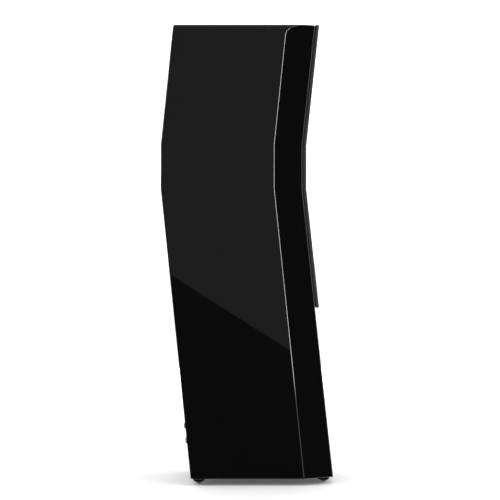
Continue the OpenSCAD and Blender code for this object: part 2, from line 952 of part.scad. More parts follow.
side_panel(-1);  // side_panel_left
side_panel(1);  // side_panel_right
front_baffle();
back_panel();
top_panel();
bottom_panel();
window_braces();
midrange_tub();
damping_foam();
grille_frame();
grille_cloth();
grille_magnets();
foot(FOOT_FRONT, -1);  // foot_front_left
foot(FOOT_FRONT, 1);  // foot_front_right
foot(FOOT_REAR, -1);  // foot_rear_left
foot(FOOT_REAR, 1);  // foot_rear_right
foot_inserts();
port(port_upper_z);  // port_upper
port(port_lower_z);  // port_lower
terminal_cup();
binding_posts();
jumper_straps();
washer(0);  // washer_high_red
washer(1);  // washer_high_black
washer(2);  // washer_low_red
washer(3);  // washer_low_black
knob(0);  // knob_high_red
knob(1);  // knob_high_black
knob(2);  // knob_low_red
knob(3);  // knob_low_black
crossover_board();
crossover_coils();
crossover_capacitors();
wiring_harness();
tweeter_faceplate();
tweeter_dome();
tweeter_voice_coil();
tweeter_mesh();
tweeter_motor();
at_driver(woofer_u, UP) basket(screw_count);  // woofer_upper_basket
at_driver(woofer_u, DOWN) basket(screw_count);  // woofer_lower_basket
woofer_motors();
at_driver(woofer_u, UP) cone();  // woofer_upper_cone
at_driver(woofer_u, DOWN) cone();  // woofer_lower_cone
at_driver(woofer_u, UP) dust_cap();  // woofer_upper_dust_cap
at_driver(woofer_u, DOWN) dust_cap();  // woofer_lower_dust_cap
at_driver(woofer_u, UP) voice_coil();  // woofer_upper_voice_coil
at_driver(woofer_u, DOWN) voice_coil();  // woofer_lower_voice_coil
at_driver(woofer_u, UP) suspension();  // woofer_upper_suspension
at_driver(woofer_u, DOWN) suspension();  // woofer_lower_suspension
at_midrange(UP) basket(small_screw_count);  // midrange_upper_basket
at_midrange(DOWN) basket(small_screw_count);  // midrange_lower_basket
midrange_motors();
at_midrange(UP) cone();  // midrange_upper_cone
at_midrange(DOWN) cone();  // midrange_lower_cone
at_midrange(UP) voice_coil();  // midrange_upper_voice_coil
at_midrange(DOWN) voice_coil();  // midrange_lower_voice_coil
at_midrange(UP) suspension();  // midrange_upper_suspension
at_midrange(DOWN) suspension();  // midrange_lower_suspension
mounting_screws();
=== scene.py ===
"""Looks of a floorstanding speaker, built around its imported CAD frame. Metres, +Z up, the front is -Y."""

import math

import bmesh
import bpy
from mathutils import Matrix, Vector

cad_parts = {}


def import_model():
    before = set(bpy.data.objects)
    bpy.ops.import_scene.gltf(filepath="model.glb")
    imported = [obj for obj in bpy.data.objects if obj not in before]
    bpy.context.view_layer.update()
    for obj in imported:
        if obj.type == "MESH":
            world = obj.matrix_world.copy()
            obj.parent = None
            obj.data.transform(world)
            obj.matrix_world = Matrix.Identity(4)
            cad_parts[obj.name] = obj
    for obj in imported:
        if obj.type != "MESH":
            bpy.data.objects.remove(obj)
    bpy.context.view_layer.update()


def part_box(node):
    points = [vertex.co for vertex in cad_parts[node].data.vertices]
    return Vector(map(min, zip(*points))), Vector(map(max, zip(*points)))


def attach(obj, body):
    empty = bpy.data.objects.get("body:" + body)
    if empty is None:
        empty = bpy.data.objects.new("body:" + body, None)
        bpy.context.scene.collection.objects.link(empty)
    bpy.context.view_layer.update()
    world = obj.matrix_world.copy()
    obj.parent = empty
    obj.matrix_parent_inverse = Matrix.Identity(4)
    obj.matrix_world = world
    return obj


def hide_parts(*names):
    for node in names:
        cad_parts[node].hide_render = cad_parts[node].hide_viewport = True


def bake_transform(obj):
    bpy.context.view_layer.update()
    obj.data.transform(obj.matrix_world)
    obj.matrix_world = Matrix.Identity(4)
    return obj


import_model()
MM = 0.001
TURN = 2 * math.pi

# ---------- driving sizes ----------

SIDE_LO, SIDE_HI = (Vector(corner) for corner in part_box("side_panel_right"))
CABINET_BOTTOM = SIDE_LO.z
CABINET_TOP = SIDE_HI.z
HALF_W = SIDE_HI.x
WALL = SIDE_HI.x - SIDE_LO.x
TOP_R = 25 * MM                 # radius of the two long top edges
UPPER_H = 280 * MM              # height of the leaning part above the upright band
BAND_H = 101 * MM               # height of the upright band
HIGH = CABINET_TOP - UPPER_H    # upper knee
LOW = HIGH - BAND_H             # lower knee
MIDDLE = (HIGH + LOW) / 2
FRONT_LEAN = math.radians(6.1)
BACK_LEAN = math.radians(5.9)
BEVEL = math.radians(24.5)
BACK_Y = SIDE_HI.y              # depths at the upright band
SEAM_Y = BACK_Y - 261.5 * MM
FRONT_Y = BACK_Y - 328 * MM
BAFFLE_T = 26 * MM
POCKET_HALF = 80 * MM
EDGE_R = 2.4 * MM               # radius of the lacquered edges
SEAM_R = 9 * MM                 # radius of the soft edge between a side and its bevel

UP, DOWN = 1, -1
SIDES = {"upper": UP, "lower": DOWN}
WOOFER_R = 76 * MM
MIDRANGE_R = 52 * MM
TWEETER_R = 47 * MM
KNEE_GAP = 6 * MM
DRIVER_GAP = 5 * MM
MIDRANGE_U = KNEE_GAP + MIDRANGE_R
WOOFER_U = MIDRANGE_U + MIDRANGE_R + DRIVER_GAP + WOOFER_R

CUP_Z = 110.5 * MM
POST_PITCH_X = 38 * MM
POST_PITCH_Z = 35.4 * MM
POST_NAMES = ("high_red", "high_black", "low_red", "low_black")
FEET = ("foot_front_left", "foot_front_right", "foot_rear_left", "foot_rear_right")


def reach(z, lean):
    """How far a leaning face stands forward of the upright band at height z."""
    return (max(0.0, z - HIGH) + max(0.0, LOW - z)) * math.tan(lean)


def front_y(z):
    return FRONT_Y - reach(z, FRONT_LEAN)


def back_y(z):
    return BACK_Y - reach(z, BACK_LEAN)


def seam_y(z):
    return SEAM_Y - reach(z, BACK_LEAN)


def tilt(z, lean):
    return lean if z > HIGH else -lean if z < LOW else 0.0


def on_front(z):
    """A frame on the front face at height z, with its Z out of the face."""
    return Matrix.Translation((0, front_y(z), z)) @ Matrix.Rotation(math.pi / 2 + tilt(z, FRONT_LEAN), 4, "X")


def on_back(z):
    """A frame on the back face at height z, with its Z out of the face."""
    turned = Matrix.Rotation(math.pi, 4, "Z") @ Matrix.Rotation(math.pi / 2, 4, "X")
    return Matrix.Translation((0, back_y(z), z)) @ Matrix.Rotation(tilt(z, BACK_LEAN), 4, "X") @ turned


def driver_z(u, side):
    return HIGH + u * math.cos(FRONT_LEAN) if side == UP else LOW - u * math.cos(FRONT_LEAN)


def new_object(name, data):
    made = bpy.data.objects.new(name, data)
    bpy.context.scene.collection.objects.link(made)
    return made


# ---------- camera ----------

CAMERA_DISTANCE = 3.3           # from the near side panel
FRAME_WIDTH = 1.1525            # what the picture takes in at the near side panel
CAMERA_Y = -6.2 * MM
CAMERA_Z = 544.3 * MM
SENSOR = 36.0


def make_camera():
    data = bpy.data.cameras.new("camera")
    camera = new_object("camera", data)
    camera.location = (-HALF_W - CAMERA_DISTANCE, CAMERA_Y, CAMERA_Z)
    camera.rotation_euler = (math.pi / 2, 0, -math.pi / 2)
    data.sensor_width = SENSOR
    data.lens = SENSOR * CAMERA_DISTANCE / FRAME_WIDTH
    data.clip_end = 100
    bpy.context.scene.camera = camera


make_camera()

# ---------- materials ----------

NOISE_MIDDLE = (0.3, 0.7)       # the values that a noise mostly stays between
EDGE_POINTINESS = (0.52, 0.6)   # where an outer edge starts to show wear, and shows all of it
BLUISH = 1.03                   # blacks are this much stronger in blue


class Nodes:
    """A node tree and short calls that add to it."""

    def __init__(self, tree):
        self.nodes = tree.nodes
        self.links = tree.links

    def node(self, kind, inputs=(), **settings):
        node = self.nodes.new("ShaderNode" + kind)
        for key, value in settings.items():
            setattr(node, key, value)
        for key, value in dict(inputs).items():
            self.put(node.inputs[key], value)
        return node

    def put(self, socket, value):
        """Links a socket to another one, or sets its value."""
        if isinstance(value, bpy.types.NodeSocket):
            self.links.new(value, socket)
        else:
            socket.default_value = value

    def math(self, operation, *values):
        return self.node("Math", dict(enumerate(values)), operation=operation).outputs[0]

    def split(self, vector):
        return self.node("SeparateXYZ", {"Vector": vector}).outputs

    def fall(self, value, start, end):
        """1 up to start, smoothly down to 0 at end."""
        inputs = {"Value": value, "From Min": start, "From Max": end, "To Min": 1.0, "To Max": 0.0}
        return self.node("MapRange", inputs, interpolation_type="SMOOTHSTEP").outputs[0]


class Look(Nodes):
    """A material of one Principled shader."""

    def __init__(self, name, **inputs):
        self.material = bpy.data.materials.new(name)
        self.material.use_nodes = True
        super().__init__(self.material.node_tree)
        self.shader = self.nodes["Principled BSDF"]
        for key, value in inputs.items():
            self.shader.inputs[key.replace("_", " ")].default_value = value
        self.place = self.nodes.new("ShaderNodeTexCoord").outputs["Object"]

    def noise(self, scale, detail=3.0, stretch=(1, 1, 1)):
        place = self.node("Mapping", {"Vector": self.place, "Scale": stretch}).outputs[0]
        return self.node("TexNoise", {"Vector": place, "Scale": scale, "Detail": detail}).outputs["Fac"]

    def cells(self, scale, feature="F1"):
        inputs = {"Vector": self.place, "Scale": scale}
        return self.node("TexVoronoi", inputs, feature=feature).outputs["Distance"]

    def wave(self, value, turn):
        """Sine of a place along one axis, turn radians to the metre."""
        return self.math("SINE", self.math("MULTIPLY", value, turn))

    def ramp(self, value, start, end, low, high):
        """Low up to start, high from end on, and straight between them."""
        inputs = {"Value": value, "From Min": start, "From Max": end, "To Min": low, "To Max": high}
        return self.node("MapRange", inputs).outputs[0]

    def spread(self, value, low, high):
        """Maps the useful middle of a noise onto low to high."""
        return self.ramp(value, *NOISE_MIDDLE, low, high)

    def blend(self, factor, first, second):
        node = self.node("Mix", {"Factor": factor}, data_type="RGBA")
        for key, colour in (("A", first), ("B", second)):
            self.put(node.inputs[key], (*colour, 1) if isinstance(colour, tuple) else colour)
        return node.outputs["Result"]

    def worn(self, colour, edge_colour, amount=0.5):
        """Lightens sharp outer edges a little, as handling does."""
        edge = self.node("NewGeometry").outputs["Pointiness"]
        return self.blend(self.ramp(edge, *EDGE_POINTINESS, 0.0, amount), colour, edge_colour)

    def use(self, **sockets):
        for key, value in sockets.items():
            self.links.new(value, self.shader.inputs[key.replace("_", " ")])

    def bump(self, height, distance, strength=1.0):
        node = self.node("Bump", {"Height": height, "Distance": distance, "Strength": strength})
        self.use(Normal=node.outputs[0])


def grey(value):
    return (value, value, value * BLUISH)


def lacquer():
    """Polished black lacquer: a trace of orange peel, faint haze where it is handled."""
    look = Look("piano_lacquer", IOR=1.5)
    haze = look.noise(7, 5)
    look.use(Base_Color=look.blend(haze, grey(0.0009), grey(0.0015)))
    look.use(Roughness=look.spread(haze, 0.01, 0.03))
    look.bump(look.noise(160, 2), 0.000004)
    return look.material


def plain(name, dark, light, rough, grain, depth, metallic=0.0, wear=None, stretch=(1, 1, 1), **inputs):
    """Moulded, painted or cast surfaces: fine grain, cloudy gloss, optional worn edges."""
    look = Look(name, Metallic=metallic, **inputs)
    cloud = look.noise(38, 4)
    fine = look.noise(grain, 3, stretch)
    colour = look.blend(look.math("MULTIPLY", cloud, fine), dark, light)
    if wear:
        colour = look.worn(colour, wear)
    look.use(Base_Color=colour, Roughness=look.spread(cloud, rough * 0.8, rough * 1.2))
    look.bump(fine, depth)
    return look.material


def fabric(name, dark, light, pitch):
    """Plain knit: two crossed thread directions with uneven yarn."""
    look = Look(name, Roughness=0.9, Specular_IOR_Level=0.25, Sheen_Weight=0.25, Sheen_Roughness=0.5)
    look.shader.inputs["Sheen Tint"].default_value = (0.5, 0.5, 0.52, 1)
    parts = look.split(look.place)
    warp = look.wave(look.math("ADD", parts["X"], parts["Y"]), TURN / pitch)
    weft = look.wave(parts["Z"], TURN / pitch)
    weave = look.math("MULTIPLY_ADD", look.math("MULTIPLY", warp, weft), 0.5, 0.5)
    yarn = look.noise(900, 2, (1, 1, 0.2))
    height = look.math("MULTIPLY_ADD", yarn, 0.35, weave)
    look.use(Base_Color=look.blend(look.math("MULTIPLY", height, 0.8), dark, light))
    look.bump(height, 0.00018)
    return look.material


def twill(name, dark, light, pitch):
    """Woven fibre cone: a two by two twill under a thin resin."""
    look = Look(name, Specular_IOR_Level=0.5, Coat_Weight=0.25, Coat_Roughness=0.2)
    place = look.node("Mapping", {"Vector": look.place, "Rotation": (0, math.pi / 4, 0)}).outputs[0]
    parts = look.split(place)
    diagonal = look.wave(look.math("ADD", parts["X"], parts["Z"]), TURN / pitch)
    cross = look.wave(parts["X"], TURN / pitch * 2)
    tow = look.math("MULTIPLY_ADD", look.math("MULTIPLY", diagonal, cross), 0.5, 0.5)
    fray = look.noise(700, 3)
    height = look.math("MULTIPLY_ADD", fray, 0.3, tow)
    look.use(Base_Color=look.blend(tow, dark, light), Roughness=look.spread(fray, 0.35, 0.5))
    look.bump(height, 0.00012)
    return look.material


def turned(name, colour, darker, rough, axis_stretch=(1, 1, 1)):
    """Lathe-turned or drawn metal: fine lines along one direction, smudges across it."""
    look = Look(name, Metallic=1.0)
    lines = look.noise(60, 2, axis_stretch)
    smudge = look.noise(45, 4)
    look.use(
        Base_Color=look.blend(smudge, colour, darker),
        Roughness=look.spread(smudge, rough * 0.75, rough * 1.3),
    )
    look.bump(lines, 0.00001)
    return look.material


def fibreboard():
    look = Look("raw_fibreboard", Roughness=0.85, Specular_IOR_Level=0.3)
    fibre = look.noise(240, 5, (1, 1, 2.2))
    look.use(Base_Color=look.blend(fibre, (0.30, 0.20, 0.115), (0.50, 0.37, 0.23)))
    look.bump(fibre, 0.0003)
    return look.material


def windings():
    """Enamelled wire laid in turns."""
    pitch = 0.0012
    look = Look("enamelled_wire", Metallic=1.0, Coat_Weight=0.6, Coat_Roughness=0.15)
    turns = look.wave(look.split(look.place)["Z"], TURN / pitch)
    tone = look.math("MULTIPLY_ADD", turns, 0.5, 0.5)
    look.use(
        Base_Color=look.blend(tone, (0.36, 0.13, 0.05), (0.8, 0.4, 0.2)),
        Roughness=look.spread(tone, 0.3, 0.4),
    )
    look.bump(turns, 0.0002)
    return look.material


def circuit_board():
    look = Look("solder_resist", Specular_IOR_Level=0.5)
    track = look.math("LESS_THAN", look.cells(90.0, "DISTANCE_TO_EDGE"), 0.06)
    look.use(
        Base_Color=look.blend(track, (0.012, 0.075, 0.03), (0.04, 0.16, 0.07)),
        Roughness=look.spread(look.noise(60), 0.3, 0.45),
    )
    look.bump(track, 0.00003)
    return look.material


def foam():
    look = Look("open_cell_foam", Roughness=1.0, Specular_IOR_Level=0.1, Sheen_Weight=0.3)
    cells = look.cells(700.0)
    look.use(Base_Color=look.blend(cells, (0.02, 0.02, 0.021), (0.09, 0.09, 0.095)))
    look.bump(cells, 0.0008)
    return look.material


def powder(name, dark, light, rough):
    """Powder-coated or texture-painted metal."""
    look = Look(name, Specular_IOR_Level=0.5)
    pebble = look.cells(1400.0, "SMOOTH_F1")
    cloud = look.noise(30)
    colour = look.worn(look.blend(cloud, dark, light), grey(0.12), 0.25)
    look.use(Base_Color=colour, Roughness=look.spread(cloud, rough * 0.85, rough * 1.2))
    look.bump(pebble, 0.00006)
    return look.material


LACQUER = lacquer()
CLOTH = fabric("grille_knit", grey(0.008), grey(0.022), 0.0011)
BOARD_BLACK = plain("grille_board_black", grey(0.006), grey(0.012), 0.5, 900, 0.00004, Specular_IOR_Level=0.1)
# near-black strip behind the cloth's edge: painted shadow of the gap between grille and baffle
SHADOW_STRIP_BLACK = plain("grille_shadow_strip", grey(0.006), grey(0.01), 0.7, 900, 0.00004, Specular_IOR_Level=0.08)
UNDERSIDE = powder("underside_paint", grey(0.012), grey(0.022), 0.6)
FIBREBOARD = fibreboard()
FOAM = foam()
NICKEL = turned("bright_nickel", (0.62, 0.6, 0.57), (0.5, 0.48, 0.45), 0.22, (1, 30, 30))
SATIN_METAL = turned("satin_knob", (0.56, 0.55, 0.54), (0.46, 0.45, 0.44), 0.3, (1, 40, 40))
GOLD = turned("gold_plate", (0.83, 0.6, 0.27), (0.72, 0.5, 0.2), 0.2, (1, 30, 30))
BRASS = turned("turned_brass", (0.74, 0.56, 0.27), (0.6, 0.43, 0.19), 0.28, (20, 20, 1))
SPIKE_BLACK = turned("black_anodised", (0.014, 0.014, 0.015), (0.009, 0.009, 0.01), 0.45, (1, 1, 60))
PORT_PLASTIC = plain("port_plastic", grey(0.012), grey(0.03), 0.5, 1100, 0.00008)
CUP_PLASTIC = plain("cup_plastic", grey(0.01), grey(0.018), 0.28, 600, 0.00002)
RING_RED = plain("ring_red", (0.4, 0.012, 0.01), (0.55, 0.02, 0.015), 0.35, 700, 0.00002)
RING_BLACK = plain("ring_black", grey(0.01), grey(0.02), 0.35, 700, 0.00002)
BOARD_GREEN = circuit_board()
COPPER = windings()
FILM = plain("capacitor_film", (0.42, 0.2, 0.02), (0.75, 0.42, 0.06), 0.3, 300, 0.00003, Coat_Weight=0.5)
SLEEVE = plain("cable_sleeve", (0.2, 0.012, 0.01), (0.33, 0.02, 0.018), 0.55, 500, 0.00006)
PLATE_BLACK = powder("faceplate_black", grey(0.014), grey(0.024), 0.42)
BASKET_BLACK = powder("cast_basket", grey(0.018), grey(0.03), 0.5)
FERRITE = plain("ferrite", grey(0.05), grey(0.1), 0.5, 500, 0.0001, metallic=0.5, wear=grey(0.2))
DOME_METAL = turned("anodised_dome", (0.72, 0.72, 0.74), (0.62, 0.62, 0.65), 0.24)
PLUG_METAL = turned("phase_plug", (0.63, 0.63, 0.65), (0.5, 0.5, 0.52), 0.2, (1, 30, 1))
CONE_FIBRE = twill("cone_twill", grey(0.02), grey(0.085), 0.004)
CAP_FIBRE = twill("cap_twill", grey(0.02), grey(0.075), 0.004)
RUBBER = plain("surround_rubber", grey(0.014), grey(0.03), 0.55, 420, 0.00005, Sheen_Weight=0.15)
SPIDER_CLOTH = plain("spider_cloth", (0.30, 0.20, 0.08), (0.45, 0.31, 0.13), 0.7, 1300, 0.00008)
SCREW_BLACK = plain("black_oxide", grey(0.05), grey(0.09), 0.35, 900, 0.00003, metallic=0.9, wear=grey(0.3))

NODE_LOOKS = {
    "back_panel": LACQUER,
    "bottom_panel": UNDERSIDE,
    "window_braces": FIBREBOARD,
    "midrange_tub": FIBREBOARD,
    "grille_frame": BOARD_BLACK,
    "grille_magnets": NICKEL,
    "foot_inserts": BRASS,
    "port_upper": PORT_PLASTIC,
    "port_lower": PORT_PLASTIC,
    "terminal_cup": CUP_PLASTIC,
    "binding_posts": NICKEL,
    "jumper_straps": GOLD,
    "crossover_board": BOARD_GREEN,
    "crossover_coils": COPPER,
    "crossover_capacitors": FILM,
    "wiring_harness": SLEEVE,
    "tweeter_voice_coil": COPPER,
    "tweeter_motor": FERRITE,
    "woofer_motors": FERRITE,
    "midrange_motors": PLUG_METAL,
    "mounting_screws": SCREW_BLACK,
}
for name in POST_NAMES:
    NODE_LOOKS["washer_" + name] = GOLD
    NODE_LOOKS["knob_" + name] = SATIN_METAL
for side in SIDES:
    for kind in ("woofer", "midrange"):
        NODE_LOOKS[f"{kind}_{side}_basket"] = BASKET_BLACK
        NODE_LOOKS[f"{kind}_{side}_voice_coil"] = COPPER

SOFTENED = (
    "grille_frame", "terminal_cup", "jumper_straps", "crossover_board", "midrange_tub", "window_braces",
)

# ---------- mesh tools ----------

SHARP = math.radians(28)        # edges that turn by more than this stay sharp
CREASE = math.radians(2)        # and at a knee, by more than this
MERGE = 1e-6                    # points closer than this are one
SOFT_EDGE = 0.6 * MM            # rounding of the CAD nodes that stay


def add_object(name, mesh, material):
    piece = new_object(name, mesh)
    mesh.materials.append(material)
    return piece


def finish_mesh(bm, name, material, creases=(), sharp=SHARP):
    """Closes a bmesh into an object: smooth faces, sharp corners, and creases at the given heights."""
    bmesh.ops.remove_doubles(bm, verts=bm.verts, dist=MERGE)
    bmesh.ops.dissolve_degenerate(bm, edges=bm.edges, dist=MERGE)
    bmesh.ops.recalc_face_normals(bm, faces=bm.faces)
    mesh = bpy.data.meshes.new(name)
    bm.to_mesh(mesh)
    bm.free()
    piece = add_object(name, mesh, material)
    shade(piece, creases, sharp)
    return piece


def shade(piece, creases=(), sharp=SHARP):
    mesh = piece.data
    mesh.shade_smooth()
    bm = bmesh.new()
    bm.from_mesh(mesh)
    for edge in bm.edges:
        heights = [v.co.z for v in edge.verts]
        level = any(all(abs(h - z) < 10 * MERGE for h in heights) for z in creases)
        turned_by = edge.calc_face_angle(math.pi) if edge.is_manifold else math.pi
        edge.smooth = not (turned_by > sharp or (level and turned_by > CREASE))
    bm.to_mesh(mesh)
    bm.free()


def weigh_normals(piece):
    """Lets large faces set the shading, so that flat lacquer stays flat beside its rounded edges."""
    modifier = piece.modifiers.new("weighted", "WEIGHTED_NORMAL")
    modifier.keep_sharp = True


def soften_node(name):
    """Rounds the edges of a CAD node with modifiers, which leave its mesh as it is."""
    piece = bpy.data.objects.get(name)
    weld = piece.modifiers.new("weld", "WELD")
    weld.merge_threshold = 10 * MERGE
    flat = piece.modifiers.new("flat", "DECIMATE")
    flat.decimate_type = "DISSOLVE"
    flat.angle_limit = math.radians(0.6)
    round_off = piece.modifiers.new("round", "BEVEL")
    round_off.width = SOFT_EDGE
    round_off.segments = 2
    round_off.limit_method = "ANGLE"
    round_off.angle_limit = math.radians(40)
    weigh_normals(piece)
    piece.data.shade_smooth()


def bridge(bm, first, second, closed=True):
    """Faces between two rings of as many points."""
    count = len(first)
    for i in range(count if closed else count - 1):
        j = (i + 1) % count
        bm.faces.new((first[i], first[j], second[j], second[i]))


def loft(name, rings, material, creases=(), closed=True, sharp=SHARP):
    """A piece through rings of points, one ring for each level, with both ends capped."""
    bm = bmesh.new()
    made = [[bm.verts.new(point) for point in ring] for ring in rings]
    for first, second in zip(made, made[1:]):
        bridge(bm, first, second, closed)
    bm.faces.new(list(reversed(made[0])))
    bm.faces.new(made[-1])
    return finish_mesh(bm, name, material, creases, sharp)


def arc(cx, cy, radius, start, end, steps):
    """Points on an arc, with angles in radians."""
    angles = [start + (end - start) * i / steps for i in range(steps + 1)]
    return [(cx + radius * math.cos(a), cy + radius * math.sin(a)) for a in angles]


def dome(radius, rise, base, steps):
    """Profile of a spherical cap, from its top to its rim at height base."""
    ball = (radius**2 + rise**2) / (2 * rise)
    sweep = math.asin(radius / ball)
    turns = [sweep * i / steps for i in range(steps + 1)]
    return [(ball * math.sin(t), base + rise - ball * (1 - math.cos(t))) for t in turns]


def scaled(profile, scale):
    return [(r * scale, h * scale) for r, h in profile]


def lathe(name, profile, place, material, segments=96, ripple=None):
    """Turns a closed profile of (radius, height) about the Z of place. ripple adds to the radius."""
    bm = bmesh.new()
    rings = []
    for i in range(segments):
        angle = TURN * i / segments
        ring = []
        for radius, height in profile:
            r = radius + (ripple(radius, height, angle) if ripple else 0.0)
            ring.append(bm.verts.new(place @ Vector((r * math.cos(angle), r * math.sin(angle), height))))
        rings.append(ring)
    count = len(profile)
    for i in range(segments):
        first, second = rings[i], rings[(i + 1) % segments]
        for k in range(count):
            j = (k + 1) % count
            if profile[k][0] > 0 or profile[j][0] > 0:
                bm.faces.new((first[k], first[j], second[j], second[k]))
    return finish_mesh(bm, name, material)


def offset_profile(points, thickness):
    """Closes an open profile into a skin of the given thickness below it."""
    lower = []
    for i, (r, z) in enumerate(points):
        before = points[max(i - 1, 0)]
        after = points[min(i + 1, len(points) - 1)]
        dr, dz = after[0] - before[0], after[1] - before[1]
        length = math.hypot(dr, dz)
        lower.append((max(r + dz / length * thickness, 0.0), z - dr / length * thickness))
    return points + lower[::-1]


def cut(piece, cutters):
    """Takes the cutters out of the piece for good, and removes them."""
    for cutter in cutters:
        modifier = piece.modifiers.new("cut", "BOOLEAN")
        modifier.operation = "DIFFERENCE"
        modifier.solver = "EXACT"
        modifier.object = cutter
    bpy.context.view_layer.update()
    evaluated = piece.evaluated_get(bpy.context.evaluated_depsgraph_get())
    old = piece.data
    piece.data = bpy.data.meshes.new_from_object(evaluated)
    piece.modifiers.clear()
    bpy.data.meshes.remove(old)
    for cutter in cutters:
        bpy.data.objects.remove(cutter, do_unlink=True)


# ---------- cabinet ----------

ARC_STEPS = 8
TOP_STEPS = 24
KNEES = (LOW, HIGH)
INNER_HALF = HALF_W - WALL
# where a side meets the top panel
SIDE_TOP = CABINET_TOP - TOP_R + math.sqrt(TOP_R**2 - (TOP_R - WALL) ** 2)
POCKET_PAST_SEAM = 5 * MM       # the pocket is open behind, so its cutter goes past the baffle
INSERT_R = 6.5 * MM             # holes of the foot inserts
INSERT_DEPTH = 20 * MM
MIDRANGE_SCALE = MIDRANGE_R / WOOFER_R
# Driver holes: radius and depth of the recess for the flange, then of the hole behind it.
CONE_HOLE = (WOOFER_R + 0.4 * MM, 5 * MM, 66.5 * MM, 66 * MM)  # at woofer size
TWEETER_HOLE = (TWEETER_R + 0.3 * MM, 4 * MM, 33 * MM, 46 * MM)


def edge_inset(z):
    """How far the faces draw in near the top and bottom edges, which are rounded by EDGE_R."""
    depth = min(z - CABINET_BOTTOM, CABINET_TOP - z)
    if depth >= EDGE_R:
        return 0.0
    return EDGE_R - math.sqrt(max(0.0, EDGE_R**2 - (EDGE_R - depth) ** 2))


def half_width(z):
    above = z - (CABINET_TOP - TOP_R)
    if above <= 0:
        return HALF_W - edge_inset(z)
    return HALF_W - TOP_R + math.sqrt(max(0.0, TOP_R**2 - above**2))


def levels(low, high):
    """Heights of the sections: the knees, and the steps of the rounded edges at bottom and top."""
    steps = [math.pi / 2 * i / ARC_STEPS for i in range(ARC_STEPS + 1)]
    heights = {low, high, LOW, HIGH, SIDE_TOP}
    heights |= {CABINET_BOTTOM + EDGE_R * (1 - math.cos(a)) for a in steps}
    heights |= {CABINET_TOP - EDGE_R * (1 - math.cos(a)) for a in steps}
    heights |= {CABINET_TOP - TOP_R * (1 - math.sin(math.pi / 2 * i / TOP_STEPS)) for i in range(TOP_STEPS)}
    inside = sorted(h for h in heights if low - 1e-9 <= h <= high + 1e-9)
    return [h for i, h in enumerate(inside) if i == 0 or h - inside[i - 1] > 1e-6]


class Section:
    """The outline of the cabinet at one height, for the half with positive X."""

    def __init__(self, z):
        self.inset = edge_inset(z)
        self.width = half_width(z)
        self.seam = seam_y(z)
        self.front = front_y(z) + self.inset
        self.back = back_y(z) - self.inset
        self.bevel_x = HALF_W - self.inset / math.cos(BEVEL)
        self.knee = self.seam - (self.bevel_x - self.width) / math.tan(BEVEL)
        self.tangent = SEAM_R * math.tan(BEVEL / 2)

    def bevel(self, y):
        return self.bevel_x - (self.seam - y) * math.tan(BEVEL)

    def outer(self, y):
        """X of the side or bevel at depth y, through the soft edge between them."""
        below = self.knee + self.tangent - y
        if below <= 0:
            return self.width
        if below < SEAM_R * math.sin(BEVEL):
            return self.width - SEAM_R + math.sqrt(SEAM_R**2 - below**2)
        return self.bevel(y)

    def back_corner(self):
        points = arc(self.width - EDGE_R, self.back - EDGE_R, EDGE_R, math.pi / 2, 0, ARC_STEPS)
        return [(max(x, INNER_HALF), y) for x, y in points]

    def seam_half(self):
        depths = [self.seam + self.tangent * (1 - i / 4) for i in range(5)]
        return [(max(self.outer(y), INNER_HALF), y) for y in depths]

    def bevel_run(self):
        """From the seam over the soft edge and the bevel to the front face."""
        centre = self.knee + self.tangent
        depths = [self.seam] + [
            min(self.seam, centre - SEAM_R * math.sin(BEVEL * i / ARC_STEPS)) for i in range(ARC_STEPS + 1)
        ]
        points = [(self.outer(y), y) for y in depths]
        turn = math.pi / 2 - BEVEL
        corner_x = self.bevel(self.front) - EDGE_R * math.tan(turn / 2)
        points += arc(corner_x, self.front + EDGE_R, EDGE_R, -BEVEL, -math.pi / 2, ARC_STEPS)
        return points


def side_panel(name, sign):
    rings = []
    for z in levels(CABINET_BOTTOM, SIDE_TOP):
        cabinet = Section(z)
        outline = [(INNER_HALF, cabinet.back)] + cabinet.back_corner()
        outline += cabinet.seam_half() + [(INNER_HALF, cabinet.seam)]
        rings.append([(sign * x, y, z) for x, y in outline])
    piece = loft(name, rings, LACQUER, KNEES)
    weigh_normals(piece)
    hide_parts(name.replace("lacquered_", ""))
    return piece


def top_panel():
    rings = []
    for z in levels(CABINET_TOP - WALL, CABINET_TOP):
        cabinet = Section(z)
        half = min(INNER_HALF, cabinet.width)
        corners = [(-half, cabinet.seam), (half, cabinet.seam), (half, cabinet.back), (-half, cabinet.back)]
        rings.append([(x, y, z) for x, y in corners])
    piece = loft("lacquered_top", rings, LACQUER)
    weigh_normals(piece)
    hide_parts("top_panel")
    return piece


def stepped_hole(place, scale, flange_r, flange_t, hole_r, depth):
    """A recessed driver hole with a small chamfer at its mouth."""
    chamfer = 0.5 * MM
    proud = 20 * MM
    profile = [
        (0, -depth), (hole_r, -depth), (hole_r, -flange_t), (flange_r, -flange_t), (flange_r, -chamfer),
        (flange_r + chamfer, 0), (flange_r + chamfer, proud), (0, proud),
    ]
    return lathe("hole", scaled(profile, scale), place, LACQUER)


def pocket():
    """The room behind the baffle board, between its bevelled flanks."""
    rings = []
    for z in (CABINET_BOTTOM + WALL, LOW, HIGH, CABINET_TOP - WALL):
        near = front_y(z) + BAFFLE_T
        far = seam_y(z) + POCKET_PAST_SEAM
        corners = ((-POCKET_HALF, near), (POCKET_HALF, near), (POCKET_HALF, far), (-POCKET_HALF, far))
        rings.append([(x, y, z) for x, y in corners])
    return loft("pocket", rings, LACQUER)


